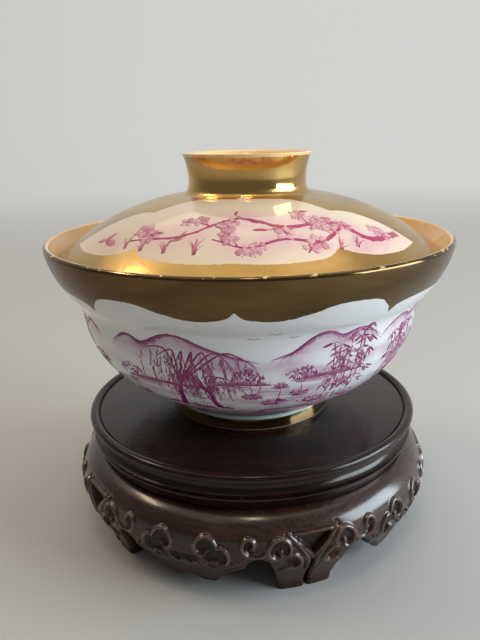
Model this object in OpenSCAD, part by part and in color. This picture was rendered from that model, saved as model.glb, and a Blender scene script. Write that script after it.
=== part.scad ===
// Covered porcelain tea bowl on a turned and carved hardwood stand.
// Millimetres. +Z is up, and the origin is the middle of the stand's footprint on the floor.
// The front faces -Y.

/* [Bowl] */
// Diameter that the lip's curve reaches at the rim's height, before its edge is rounded
rim_d = 112.4; // [108:0.1:118]
// Height of the bowl from the foot's underside to the rim
bowl_h = 50.5; // [48.5:0.1:54]
// Thickness of the bowl's thrown wall
bowl_wall = 2.2; // [1.8:0.1:2.8]
// How far the lip flares out past the hip, the fullest part of the body below the crease
lip_flare = 9; // [7.5:0.1:10.5]
// Height of the hip above the foot's underside
hip_h = 33.5; // [32:0.1:34]
// Radius of the round body below the hip
hip_r = 26; // [24:0.1:28]
// Rise from the hip to the crease where the body turns out into the lip
crease_rise = 0.8; // [0.4:0.1:2]
// Radius of the lip's outward curve
lip_r = 27; // [22:0.1:34]
// Thickness of the bowl's floor over the hollow foot
floor_t = 2.4; // [2:0.1:3.2]
// Radius of the blend between the floor and the sloping wall, inside
floor_blend_r = 20; // [8:0.5:28]

/* [Bowl foot] */
// Outside diameter of the foot ring where it stands
foot_d = 46.7; // [43:0.1:50]
// Draw-in of the foot ring's side, from where it stands up to the body
foot_draw = 0.75; // [0.2:0.05:1.5]
// Height of the foot ring outside
foot_h = 3.5; // [2.6:0.1:4.5]
// Width of the foot ring across its underside
foot_w = 3; // [2:0.1:4]
// Depth of the hollow inside the foot ring
foot_hollow = 2.4; // [1.5:0.1:3]
// Bevel of the foot ring's two lower edges
foot_bevel = 0.5; // [0.2:0.05:0.8]

/* [Edges] */
// How far the rounded edges of the bowl, lid and knob stand proud of their walls
edge_proud = 0.1; // [0.05:0.01:0.2]

/* [Lid] */
// How far the lid's edge lies inside the rim
lid_inset = 4; // [3.7:0.1:5]
// Thickness of the lid's wall
lid_wall = 2.2; // [1.8:0.1:2.8]
// Height of the dome above the middle of the lid's rounded edge
dome_h = 16.3; // [14:0.1:19]
// Radius of the dome's curve
dome_r = 62; // [58:0.5:72]
// Gap between the lid's edge and the bowl's lip, where the lid seats
lid_gap = 0.3; // [0.2:0.05:0.5]

/* [Knob] */
// Outside diameter of the knob ring at its narrowest
knob_waist_d = 32.5; // [28:0.1:37]
// Height of the knob ring above the top of the dome
knob_h = 10.5; // [8:0.1:13]
// Height of the knob ring's narrowest part above the top of the dome
knob_waist_h = 3.4; // [2:0.1:5]
// Radius of the knob ring's outward flare
knob_flare_r = 17; // [14:0.5:30]
// Thickness of the knob ring's wall
knob_wall = 2.4; // [1.8:0.1:3.2]

/* [Tray] */
// Height of the tray's face, where the bowl stands
stand_h = 33; // [31:0.1:37]
// Outside diameter over the tray's raised lip
tray_d = 96.4; // [94:0.1:100]
// Width of the tray's half-round lip
tray_lip_w = 2.5; // [2:0.1:3]
// Height of the lip above the tray's face
tray_lip_h = 0.9; // [0.5:0.05:1.2]
// Thickness of the tray board below its face
tray_t = 9.6; // [8.5:0.1:11]
// Drop from the tray's face to the middle of the cove
cove_drop = 3.2; // [3:0.1:3.6]
// Set-back of the cove's deepest line from the outside of the lip
cove_set = 2.8; // [2.4:0.1:3.2]
// Radius of the cove
cove_r = 2.6; // [2.4:0.1:2.8]
// Drop from the tray's face to the underside of the drip edge below the cove
drip_drop = 6.2; // [6:0.1:6.8]
// Outside diameter over the drip edge
drip_d = 94.8; // [93:0.1:97]
// Outside diameter of the tray's underside
tray_base_d = 91.2; // [88:0.1:92]
// Width and depth of the fine groove inside the lip
quirk = 0.45; // [0.3:0.05:0.6]

/* [Drum] */
// Outside diameter of the drum at its belly
belly_d = 102.8; // [100:0.1:106]
// Drop from the drum's top to the belly's fullest line
belly_drop = 7.6; // [7:0.1:8.5]
// Radius of the drum's shoulder, above the belly
shoulder_r = 8; // [7.8:0.1:9.5]
// Radius of the drum below the belly
belly_r = 14; // [13:0.1:18]
// Inside diameter of the drum
drum_in_d = 76; // [72:0.5:78]
// Height of the apron's lower edge above the floor
apron_clear = 2.6; // [2:0.1:4]

/* [Feet and apron] */
// Turn of the first foot from the front, towards the right
foot_turn = 16.5; // [0:0.5:45]
// Outside diameter over the feet at the floor
stance_d = 91.2; // [89:0.1:93]
// Flare of the feet and apron, from the floor up to where they run into the belly
apron_flare = 1.8; // [0.5:0.1:2.4]
// Height above the floor where the feet and apron run into the belly
apron_h = 6.4; // [5:0.1:7.5]
// Width of a foot at the floor
stand_foot_w = 14.4; // [13:0.1:15.2]
// Radius of the arch beside each foot, at its crown
arch_r = 3.2; // [2.6:0.1:3.5]
// Height of the arch's crown above the floor
arch_h = 13; // [10:0.1:13.5]
// Spread of each side of the arch, from its crown down to the floor
arch_spread = 1.5; // [1:0.1:1.9]
// Length of the apron's rising edge, from the arch's middle out to the low tip
rise_l = 10.6; // [9.8:0.1:11.4]
// Distance of the knee in the rising edge from the arch's middle
knee_l = 7.2; // [6.4:0.1:8]
// Height of the knee above the floor
knee_h = 7.7; // [6.8:0.1:8.4]
// Radius of the scallop in the middle of the apron's lower edge
scallop_r = 3; // [2:0.1:3.5]
// Depth of the scallop
scallop_deep = 1.5; // [0.8:0.1:2]
// Width of the split up the middle of a foot
split_w = 0.8; // [0.6:0.1:1.8]
// Height of the split above the floor
split_h = 11.4; // [10:0.1:12]
// Depth of the split, in from the foot's face at the floor
split_deep = 2; // [1:0.1:2.5]
// Width of the sunk triangle over a foot, along its top
triangle_w = 9.6; // [8.5:0.1:11]
// Height of the sunk triangle
triangle_h = 5.2; // [4.6:0.1:5.6]
// Drop from the drum's top to the triangle's upper side
triangle_drop = 4.7; // [4.3:0.1:5]
// Depth of the triangle below the belly's fullest line
triangle_deep = 1.6; // [1.2:0.1:2]

/* [Joinery] */
// Thickness of a loose tongue, across the drum's wall
tongue_t = 3; // [2:0.1:4]
// Height of a loose tongue
tongue_h = 8; // [6:0.1:9]
// Length of a loose tongue, across the joint
tongue_l = 14; // [10:0.5:16]
// Drop from the drum's top to a loose tongue
tongue_drop = 2.4; // [1.5:0.1:3]
// Wall between the drum's bore and a loose tongue or a dowel
inner_wall = 2; // [1.5:0.1:3]
// Diameter of a dowel between the tray and the drum
dowel_d = 4; // [3:0.1:4.5]
// Length of a dowel, half in the tray and half in the drum
dowel_l = 11; // [8:0.5:12]
// Turn of a dowel from the middle of its block
dowel_turn = 18; // [13:1:20]
// Glue gap round a tongue or a dowel
glue_gap = 0.06; // [0.02:0.01:0.1]

/* [Hidden] */
$fn = 96;
cut = 1;                            // how far a cutting tool runs past the face it cuts
reach = 200;                        // further than any part of the object
bite = 0.05;                        // how deep a straight side runs into the round that it joins
front_a = -90;                      // direction of the front, turned from +X
blocks = 5;                         // blocks in the drum, with a foot at each joint
block_a = 360 / blocks;

// Bowl section, as [radius, height above the foot's underside]
hip_c = [rim_d / 2 - lip_flare - hip_r, hip_h];
crease = [hip_c[0] + sqrt(pow(hip_r, 2) - pow(crease_rise, 2)), hip_h + crease_rise];
lip_c = arc_centre(crease, [rim_d / 2, bowl_h], lip_r);
rim_r = bowl_wall / 2 + edge_proud;
rim_z = bowl_h - rim_r;
rim_c = [lip_c[0] + sqrt(pow(lip_r - bowl_wall / 2, 2) - pow(rim_z - lip_c[1], 2)), rim_z];
neck = [foot_d / 2 - foot_draw, foot_h];
cone_a = touch_angle(neck, hip_c, hip_r - bite);
cone_way = [cos(cone_a), sin(cone_a)];
cone_face = [sin(cone_a), -cos(cone_a)];
cone_top = hip_c + (hip_r - bite) * cone_face;
cone_top_in = cone_top - bowl_wall * cone_face;
floor_z = foot_hollow + floor_t;
floor_corner = cone_top_in - (cone_top_in[1] - floor_z) / sin(cone_a) * cone_way;
blend_l = floor_blend_r * tan(cone_a / 2);

// Lid section, in the bowl's heights: its rounded edge rests inside the bowl's lip
edge_r = lid_wall / 2 + edge_proud;
edge_x = rim_d / 2 - lid_inset - edge_r;
seat_r = lip_r - bowl_wall - lid_gap - edge_r;
edge_c = [edge_x, lip_c[1] - sqrt(pow(seat_r, 2) - pow(edge_x - lip_c[0], 2))];
dome_top = edge_c[1] + dome_h;
dome_z = dome_top - dome_r;
dome_c = [edge_x - sqrt(pow(dome_r - lid_wall / 2, 2) - pow(edge_c[1] - dome_z, 2)), dome_z];
edge_a = heading(dome_c, edge_c);
knob_c = [knob_waist_d / 2 + knob_flare_r, dome_top + knob_waist_h];
knob_edge_r = knob_wall / 2 + edge_proud;
knob_mid_r = knob_flare_r + knob_wall / 2;

// Stand
drum_h = stand_h - tray_t;
lip_bead_r = tray_lip_w / 2;
lip_bead_c = [tray_d / 2 - lip_bead_r, tray_lip_h - lip_bead_r];
cove_c = [tray_d / 2 - cove_set + cove_r, -cove_drop];
belly_z = drum_h - belly_drop;
shoulder_c = [belly_d / 2 - shoulder_r, belly_z];
belly_c = [belly_d / 2 - belly_r, belly_z];
drum_in_r = drum_in_d / 2;
arch_a = asin((stand_foot_w / 2 + arch_r + arch_spread) / (stance_d / 2));
knee_slope = (rise_l - knee_l) / (knee_h - apron_clear);
triangle_z = drum_h - triangle_drop;
tongue_r = drum_in_r + inner_wall;
tongue_z = drum_h - tongue_drop - tongue_h;
dowel_r = drum_in_r + inner_wall + dowel_d / 2;

// Centre of the arc of radius r that rises from a to b and bulges away from the axis
function arc_centre(a, b, r) =
    let (d = b - a)
    (a + b) / 2 + sqrt(r * r - d * d / 4) * [-d[1], d[0]] / norm(d);

// Slope of the line from p that touches the underside of a circle
function touch_angle(p, c, r) = let (d = c - p) atan2(d[1], d[0]) - asin(r / norm(d));

// Direction of p seen from c, counted from 0 to 360
function heading(c, p) = let (a = atan2(p[1] - c[1], p[0] - c[0])) a < 0 ? a + 360 : a;

// Point on the axis side of a circle at height z
function circle_at_height(c, r, z) = [c[0] - sqrt(r * r - pow(z - c[1], 2)), z];

// Disc in a section, without the part that would lie across the axis
module section_disc(c, r) {
    intersection() {
        translate(c) circle(r);
        translate([0, c[1] - r]) square([c[0] + r, 2 * r]);
    }
}

// The bowl's section as if it were solid, up to the middle of its rounded rim
module bowl_outside() {
    foot_in = foot_d / 2 - foot_w;
    intersection() {
        union() {
            polygon([
                [0, foot_hollow],
                [foot_in, foot_hollow],
                [foot_in, foot_bevel],
                [foot_in + foot_bevel, 0],
                [foot_d / 2 - foot_bevel, 0],
                [foot_d / 2, foot_bevel],
                neck,
                cone_top,
                hip_c,
                [lip_c[0], bowl_h],
                [0, bowl_h]
            ]);
            section_disc(hip_c, hip_r);
            section_disc(lip_c, lip_r);
        }
        square([reach, rim_z]);
    }
}

// The space inside the bowl: flat floor, blend, sloping wall, round hip and flared lip
module bowl_inside() {
    blend_start = floor_corner - [blend_l, 0];
    polygon([
        [0, floor_z],
        blend_start,
        floor_corner + blend_l * cone_way,
        cone_top_in,
        [lip_c[0], bowl_h],
        [0, bowl_h]
    ]);
    section_disc(blend_start + [0, floor_blend_r - bite], floor_blend_r);
    section_disc(hip_c, hip_r - bowl_wall);
    section_disc(lip_c, lip_r - bowl_wall);
}

// Round body on a hollow foot, with a lip that flares out above a crease
module bowl() {
    color("ghostwhite") translate([0, 0, stand_h]) rotate_extrude() {
        difference() {
            bowl_outside();
            bowl_inside();
        }
        translate(rim_c) circle(rim_r);
    }
}

// Area under the dome at depth t below its outside, flat across the middle
module under_dome(t) {
    section_disc(dome_c, dome_r - t);
    translate([0, dome_z]) square([dome_c[0], dome_r - t - bite]);
}

// Ring wall that narrows to a waist and flares out to a rounded edge
module knob_section() {
    low = circle_at_height(knob_c, knob_mid_r, dome_top - lid_wall / 2);
    high = circle_at_height(knob_c, knob_mid_r, dome_top + knob_h - knob_edge_r);
    intersection() {
        difference() {
            translate(knob_c) circle(knob_flare_r + knob_wall);
            translate(knob_c) circle(knob_flare_r);
        }
        polygon([knob_c, for (p = [low, high]) knob_c + 2 * (p - knob_c)]);
    }
    translate(high) circle(knob_edge_r);
}

// Shallow dome with a hollow ring knob
module lid() {
    color("gold") translate([0, 0, stand_h]) rotate_extrude() {
        intersection() {
            difference() {
                under_dome(0);
                under_dome(lid_wall);
            }
            polygon([dome_c, dome_c + reach * [cos(edge_a), sin(edge_a)], [0, reach], [0, dome_z]]);
        }
        translate(edge_c) circle(edge_r);
        knob_section();
    }
}

// Underside, drip edge, cove, half-round lip and flat face, measured down from the face
module tray_section() {
    lip_in = tray_d / 2 - tray_lip_w;
    difference() {
        polygon([
            [0, -tray_t],
            [tray_base_d / 2, -tray_t],
            [drip_d / 2, -drip_drop],
            [drip_d / 2, -cove_drop],
            [lip_bead_c[0], -cove_drop],
            lip_bead_c,
            [lip_in - quirk / 2, -quirk],
            [lip_in - quirk, 0],
            [0, 0]
        ]);
        translate(cove_c) circle(cove_r);
    }
    translate(lip_bead_c) circle(lip_bead_r);
}

// Turned board that the bowl stands on, bored from below for the dowels
module tray_board() {
    color([0.2, 0.1, 0.08]) difference() {
        translate([0, 0, stand_h]) rotate_extrude() tray_section();
        dowels(glue_gap);
    }
}

// Pegs between the tray and the drum, two to a block
module dowels(gap) {
    for (k = [0 : blocks - 1], side = [-1, 1])
        rotate(foot_turn + (k + 0.5) * block_a + side * dowel_turn)
            translate([0, -dowel_r, drum_h - dowel_l / 2 - gap])
                cylinder(d = dowel_d + 2 * gap, h = dowel_l + 2 * gap);
}

module tray_dowels() {
    color([0.5, 0.33, 0.2]) dowels(0);
}

// Strips let half into each of the two blocks that meet at a foot
module tongues(gap) {
    for (k = [0 : blocks - 1])
        rotate(foot_turn + k * block_a)
            translate([-tongue_l / 2 - gap, -tongue_r - tongue_t - gap, tongue_z - gap])
                cube([tongue_l, tongue_t, tongue_h] + 2 * gap * [1, 1, 1]);
}

module joint_splines() {
    color([0.45, 0.3, 0.18]) tongues(0);
}

// Area between the axis and an arc that bulges outwards, from z0 up to z1
module inside_arc(c, r, z0, z1) {
    intersection() {
        translate(c) circle(r);
        translate([c[0], z0]) square([r, z1 - z0]);
    }
    translate([0, z0]) square([c[0], z1 - z0]);
}

// Wall of the drum from the floor to its top: feet and apron, belly and shoulder
module drum_section() {
    difference() {
        union() {
            polygon([
                [0, 0],
                [stance_d / 2, 0],
                [stance_d / 2 + apron_flare, apron_h],
                [0, apron_h]
            ]);
            inside_arc(belly_c, belly_r, apron_clear, belly_z);
            inside_arc(shoulder_c, shoulder_r, belly_z, drum_h);
        }
        translate([0, -cut]) square([drum_in_r, drum_h + 2 * cut]);
    }
}

// Cutter of a flat outline, run outwards through the drum's wall from radius r at turn a
module wall_cut(a, r) {
    rotate(a) translate([r, 0, 0]) rotate([90, 0, 90]) linear_extrude(reach) children();
}

// Round-headed opening beside a foot, with the apron's edge that falls away from it to the low tip
module arch_outline() {
    crown = arch_h - arch_r;
    translate([0, crown]) circle(arch_r);
    polygon([
        [-arch_r + bite, crown],
        [-arch_r - arch_spread, -cut],
        [rise_l + knee_slope * (apron_clear + cut), -cut],
        [knee_l, knee_h],
        [arch_r - bite, crown]
    ]);
}

// Hollow in the apron's lower edge
module scallop_outline() {
    translate([0, apron_clear + scallop_deep - scallop_r]) circle(scallop_r);
}

// Carving from a foot's middle up to the middle of the apron
module half_block_cuts() {
    wall_cut(arch_a, 0) arch_outline();
    wall_cut(0, belly_d / 2 - triangle_deep)
        polygon([
            [-triangle_w / 2, triangle_z],
            [triangle_w / 2, triangle_z],
            [0, triangle_z - triangle_h]
        ]);
    wall_cut(0, stance_d / 2 - split_deep)
        translate([-split_w / 2, -cut]) square([split_w, split_h + cut]);
}

// One block of the drum from foot to foot, counted round from the foot nearest the front
module drum_block(k) {
    color([0.16, 0.08, 0.06]) difference() {
        rotate(front_a + foot_turn + k * block_a) difference() {
            rotate_extrude(angle = block_a) drum_section();
            rotate(arch_a) rotate_extrude(angle = block_a - 2 * arch_a)
                translate([drum_in_r - cut, -cut]) square([belly_d / 2 - drum_in_r + cut, apron_clear + cut]);
            half_block_cuts();
            wall_cut(block_a / 2, 0) scallop_outline();
            rotate(block_a) mirror([0, 1, 0]) half_block_cuts();
        }
        tongues(glue_gap);
        dowels(glue_gap);
    }
}

module right_block() {
    drum_block(0);
}

module back_right_block() {
    drum_block(1);
}

module back_left_block() {
    drum_block(2);
}

module left_block() {
    drum_block(3);
}

module front_block() {
    drum_block(4);
}

lid();
bowl();
tray_board();
front_block();
right_block();
back_right_block();
back_left_block();
left_block();
joint_splines();
tray_dowels();
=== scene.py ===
"""Covered porcelain tea bowl on a turned and carved hardwood stand.

Sizes in this script are millimetres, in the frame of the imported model: the floor is Z = 0, the pieces
turn about +Z and the front faces -Y. Angles round the axis count from the front towards +X.
"""
import math
import random

import bpy
import numpy as np
from mathutils import Matrix, Vector
from mathutils.geometry import delaunay_2d_cdt


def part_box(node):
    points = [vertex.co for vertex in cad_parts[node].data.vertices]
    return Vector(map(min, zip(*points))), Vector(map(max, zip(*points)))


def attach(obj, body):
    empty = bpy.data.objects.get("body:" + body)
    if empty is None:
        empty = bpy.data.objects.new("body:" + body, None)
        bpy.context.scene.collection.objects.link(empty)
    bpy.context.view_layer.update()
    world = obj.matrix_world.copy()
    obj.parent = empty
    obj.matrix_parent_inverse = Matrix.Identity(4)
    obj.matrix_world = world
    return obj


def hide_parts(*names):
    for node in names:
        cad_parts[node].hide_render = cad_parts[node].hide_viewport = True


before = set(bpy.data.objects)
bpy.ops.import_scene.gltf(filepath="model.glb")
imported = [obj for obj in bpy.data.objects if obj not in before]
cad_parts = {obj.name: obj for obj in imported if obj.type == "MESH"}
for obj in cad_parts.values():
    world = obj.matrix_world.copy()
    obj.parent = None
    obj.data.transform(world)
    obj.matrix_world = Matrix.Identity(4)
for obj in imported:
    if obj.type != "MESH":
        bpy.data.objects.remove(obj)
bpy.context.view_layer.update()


# Carved blocks of the drum
# Five blocks of dark hardwood, glued end to end into a ring under the tray. Each is shaped to a round
# shoulder and belly, pierced beside its two half feet, and carved with raised scrolls by hand.

MM = 0.001
BLOCKS = ("front_block", "right_block", "back_right_block", "back_left_block", "left_block")
BLOCK_TURN = 72.0
FRONT_FOOT = 16.5
drum_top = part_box("front_block")[1].z / MM
bore_r = 38.0
stance_r, apron_flare, apron_rise = 45.6, 1.8, 6.4
belly_r, belly_z, belly_round = 51.4, drum_top - 7.6, 14.0
shoulder_round = 8.0
apron_clear = 2.6
instep_low, instep_high = 2.0, 9.5
half_foot, arch_r, arch_top, arch_spread = 7.2, 3.2, 13.0, 1.5
arch_turn = math.degrees(math.asin((half_foot + arch_r + arch_spread) / stance_r))
rise_l, knee_l, knee_h = 10.6, 7.2, 7.7
scallop_r, scallop_deep = 3.0, 1.5
split_half, split_deep, split_top = 0.4, 2.0, 11.4
slit_round, slit_fade, slit_steep = 0.9, 0.5, 0.98
triangle_half, triangle_top, triangle_low = 4.8, drum_top - 4.7, drum_top - 9.9
triangle_deep, triangle_wall = 1.5, 0.35
edge_round, tongue_round, tongue_flare, flare_h = 0.6, 1.5, 0.5, 5.0
tongue_half, tongue_top, tongue_blend = 12.5, 10.5, 3.0
thin_end, cut_reach, ground_start, ground_wall, full_relief = 0.75, 1.5, 0.1, 0.8, 0.6
carved_half, carved_top, carved_step, hair = 32.2, 21.2, 0.2, 0.015
slit_steps = [0, 0.25, 0.42, 0.46, 0.6, 0.8, 1.0]
mm_per_degree = math.radians(1) * belly_r


def arc(centre, radius, start, end, steps=24):
    """Points along an arc, with its angles in degrees counted from the first axis towards the second."""
    turns = np.radians(np.linspace(start, end, steps + 1))
    return np.column_stack([centre[0] + radius * np.cos(turns), centre[1] + radius * np.sin(turns)])


def smooth_line(points, steps):
    """A curve through a few points, in equal steps."""
    points = np.array(points, float)
    if len(points) == 2:
        return points[0] + np.linspace(0, 1, steps + 1)[:, None] * (points[1] - points[0])
    ends = np.vstack([2 * points[0] - points[1], points, 2 * points[-1] - points[-2]])
    share = np.linspace(0, len(points) - 1 - 1e-9, steps + 1)
    k = share.astype(int)
    f = (share - k)[:, None]
    a, b, c, d = (ends[k + i] for i in range(4))
    square, cube = 2 * a - 5 * b + 4 * c - d, 3 * b - a - 3 * c + d
    return 0.5 * (2 * b + (c - a) * f + square * f ** 2 + cube * f ** 3)


def bent_line(start, corner, end, steps):
    """A curve that sets out towards a corner and comes in from it."""
    share = np.linspace(0, 1, steps)[:, None]
    return start * (1 - share) ** 2 + 2 * corner * share * (1 - share) + end * share ** 2


def run_of(line):
    """How far along a line each of its points is, and which way the line goes there."""
    run = np.concatenate([[0], np.cumsum(np.linalg.norm(np.diff(line, axis=0), axis=1))])
    return run, np.gradient(line, run, axis=0)


# Main curves of half a block: distance from the foot's middle along the belly, then height above the floor.
ring = [(6.1, 14.5), (5.8, 16.2), (6.6, 17.8), (8.1, 18.6), (9.7, 18.2), (10.9, 17.0), (11.2, 15.5),
        (10.6, 14.1), (9.4, 13.4)]
lobe = [(5.2, 14.3), (3.9, 13.5), (3.0, 12.0), (3.3, 10.5), (4.6, 9.8), (6.4, 10.0)]
curl = [(15.0, 14.2), (16.4, 14.7), (17.4, 16.0), (17.6, 17.4), (17.0, 18.4), (16.0, 18.8), (15.0, 18.3)]
cloud = [(23.6, 16.3), (24.1, 17.3), (25.0, 18.4), (26.4, 18.9), (27.9, 18.4), (29.0, 17.2), (29.2, 15.9),
         (28.8, 14.7), (27.7, 14.0)]
ring_end, curl_end, cloud_end, leaf_end = (8.3, 14.9), (15.4, 16.5), (26.3, 15.1), (29.2, 11.3)

# Raised lines, with their half width, their height off the belly, and how far wood beside them is cut back.
carved_lines = [(smooth_line(points, 6 * len(points)), *sizes) for points, *sizes in (
    # Ring beside the foot, and the lobe under it that runs out into a tongue
    (ring + [(8.3, 13.9), ring_end], 0.95, 0.78, 0.0),
    ([(6.4, 14.1)] + lobe + [(8.4, 8.8)], 0.9, 0.7, 0.0),
    # Vine over the arch, and the curl that it ends in
    ([(11.3, 15.8), (12.4, 14.7), (13.7, 14.1), curl[0]], 0.75, 0.5, 0.0),
    (curl + [(14.7, 17.2), curl_end], 0.92, 0.78, 0.0),
    # Cloud with its side lobe, and the leaf under it
    (cloud + [(26.6, 14.2), cloud_end], 0.95, 0.78, 0.0),
    ([(23.6, 16.2), (22.6, 16.6), (21.6, 15.9), (20.9, 14.3), (21.0, 12.7), (21.7, 11.6)], 0.92, 0.74, 0.0),
    ([(27.0, 10.6), (25.7, 12.2), (24.3, 12.2), (23.3, 10.4)], 0.7, 0.5, 0.0),
    ([(23.3, 10.4), (24.8, 9.9), (27.0, 10.6)], 0.65, 0.42, 0.0),
    ([(32.3, 12.0), (30.6, 10.5), leaf_end], 0.75, 0.5, 0.0),
    # Bead along the apron's lower edge
    ([(17.6, 10.7), (21.2, 8.8), (23.0, 6.6), (24.9, 3.6), (26.5, 3.3), (28.6, 3.3), (29.9, 4.0), (31.0, 4.9),
      (32.3, 5.2)], 0.8, 0.25, 0.0),
    # Double frame of the triangle; the outer arm runs down into the foot
    ([(6.3, 19.3), (4.5, 17.5), (2.9, 15.3), (1.5, 12.7), (1.1, 11.0), (1.1, 8.0)], 0.8, 0.55, 0.3),
    ([(0.0, 12.6), (2.5, 15.9), (4.9, 19.2)], 0.6, 0.45, 0.3),
    ([(0.0, 19.2), (2.5, 19.2), (4.9, 19.2)], 0.6, 0.45, 0.3),
)]

# Round ends of the curls and two beads on the apron, with their radius and height.
beads = [(ring_end, 0.9, 0.8), (curl_end, 0.85, 0.8), (cloud_end, 0.9, 0.8), (leaf_end, 0.8, 0.55),
         ((18.4, 11.9), 0.6, 0.45), ((20.0, 11.2), 0.6, 0.45)]

# Grounds sunk inside the curls: outlines along the middles of the raised lines round them, and their depths.
sunk_grounds = [(np.array(points + points[:1], float), deep) for points, deep in (
    (ring + [(8.0, 13.4)], 0.45),
    ([(6.8, 13.6)] + lobe + [(7.8, 11.4)], 0.45),
    (curl + [(14.4, 16.4)], 0.4),
    (cloud + [(27.2, 12.4), (25.7, 12.2), (24.3, 12.2), (23.2, 10.8), (21.7, 11.4), (21.0, 12.7),
              (20.9, 14.3), (21.6, 15.9), (22.6, 16.6)], 0.45),
    ([(28.6, 13.6), (34.0, 13.4), (34.0, 12.0), (30.6, 10.5), leaf_end, (28.0, 12.6)], 0.4),
    ([(12.0, 13.8), (13.6, 14.0), (15.0, 14.0), (16.6, 13.6), (13.6, 13.3)], 0.3),
)]


def gap_to_line(points, line):
    """Shortest gap from each point to a line of short straight runs, and how far along the line it is."""
    best = np.full(len(points), 1e9)
    along = np.zeros(len(points))
    for k, (a, b) in enumerate(zip(line[:-1], line[1:])):
        run = b - a
        share = np.clip((points - a) @ run / (run @ run), 0, 1)
        gap = np.linalg.norm(points - a - share[:, None] * run, axis=1)
        near = gap < best
        best[near] = gap[near]
        along[near] = (k + share[near]) / (len(line) - 1)
    return best, along


def inside_of(points, outline):
    """Which points lie inside a closed outline."""
    x, y = points.T
    inside = np.zeros(len(points), bool)
    for (x0, y0), (x1, y1) in zip(outline[:-1], outline[1:]):
        if y0 != y1:
            inside ^= ((y0 > y) != (y1 > y)) & (x < x0 + (y - y0) * (x1 - x0) / (y1 - y0))
    return inside


def drum_outline():
    """Radius and height of the drum's outside in short steps: foot, instep, belly and shoulder."""
    belly_c = np.array((belly_r - belly_round, belly_z))
    shoulder_c = (belly_r - shoulder_round, belly_z)
    top = math.degrees(math.asin((drum_top - belly_z) / shoulder_round))
    heel = np.array((stance_r, 0.0))
    toe = np.array((stance_r + apron_flare * instep_low / apron_rise, instep_low))
    start = -math.asin((belly_z - instep_high) / belly_round)
    knee = belly_c + belly_round * np.array((math.cos(start), math.sin(start)))
    rise, knee_way = toe - heel, np.array((-math.sin(start), math.cos(start)))
    back = np.linalg.solve(np.column_stack([rise, knee_way]), knee - toe)
    bend = toe + back[0] * rise
    foot = heel + np.linspace(0, 1, 20)[:, None] * rise
    belly = arc(belly_c, belly_round, math.degrees(start), 0, 100)
    shoulder = arc(shoulder_c, shoulder_round, 0, top, 120)
    return np.vstack([foot, bent_line(toe, bend, knee, 60)[1:], belly[1:], shoulder[1:]])


drum_line = drum_outline()
drum_run, drum_slope = run_of(drum_line)
drum_out = np.column_stack([drum_slope[:, 1], -drum_slope[:, 0]])


def along_drum(run, values):
    """What two columns of values on the drum's outline are, at distances along it."""
    return [np.interp(run, drum_run, column) for column in values.T]


def wood_left(turn, run):
    """How far each point of the outside lies from the nearest sawn edge, below 0 where it is cut away."""
    r, z = along_drum(run, drum_line)
    from_foot = BLOCK_TURN / 2 - np.abs(turn)
    side = r * np.sin(np.radians(from_foot - arch_turn))
    crown = arch_top - arch_r
    opening = np.maximum(z - crown, -side - arch_r - arch_spread * np.clip(1 - z / crown, 0, 1))
    spring, knee, toe = (arch_r, crown), (knee_l, knee_h), (rise_l, apron_clear)
    for (x0, z0), (x1, z1) in ((spring, knee), (knee, toe)):
        past = ((z - z0) * (x1 - x0) - (side - x0) * (z1 - z0)) / math.hypot(x1 - x0, z1 - z0)
        opening = np.maximum(opening, past)
    left = np.minimum(opening, np.hypot(side, z - crown) - arch_r)
    left = np.minimum(left, np.maximum(z - apron_clear, -side))
    across = r * np.sin(np.radians(from_foot - BLOCK_TURN / 2))
    return np.minimum(left, np.hypot(across, z - apron_clear - scallop_deep + scallop_r) - scallop_r)


def swell(share):
    """1 at a share of 0, falling smoothly to 0 at a share of 1."""
    return 0.5 + 0.5 * np.cos(np.pi * np.clip(share, 0, 1))


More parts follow.
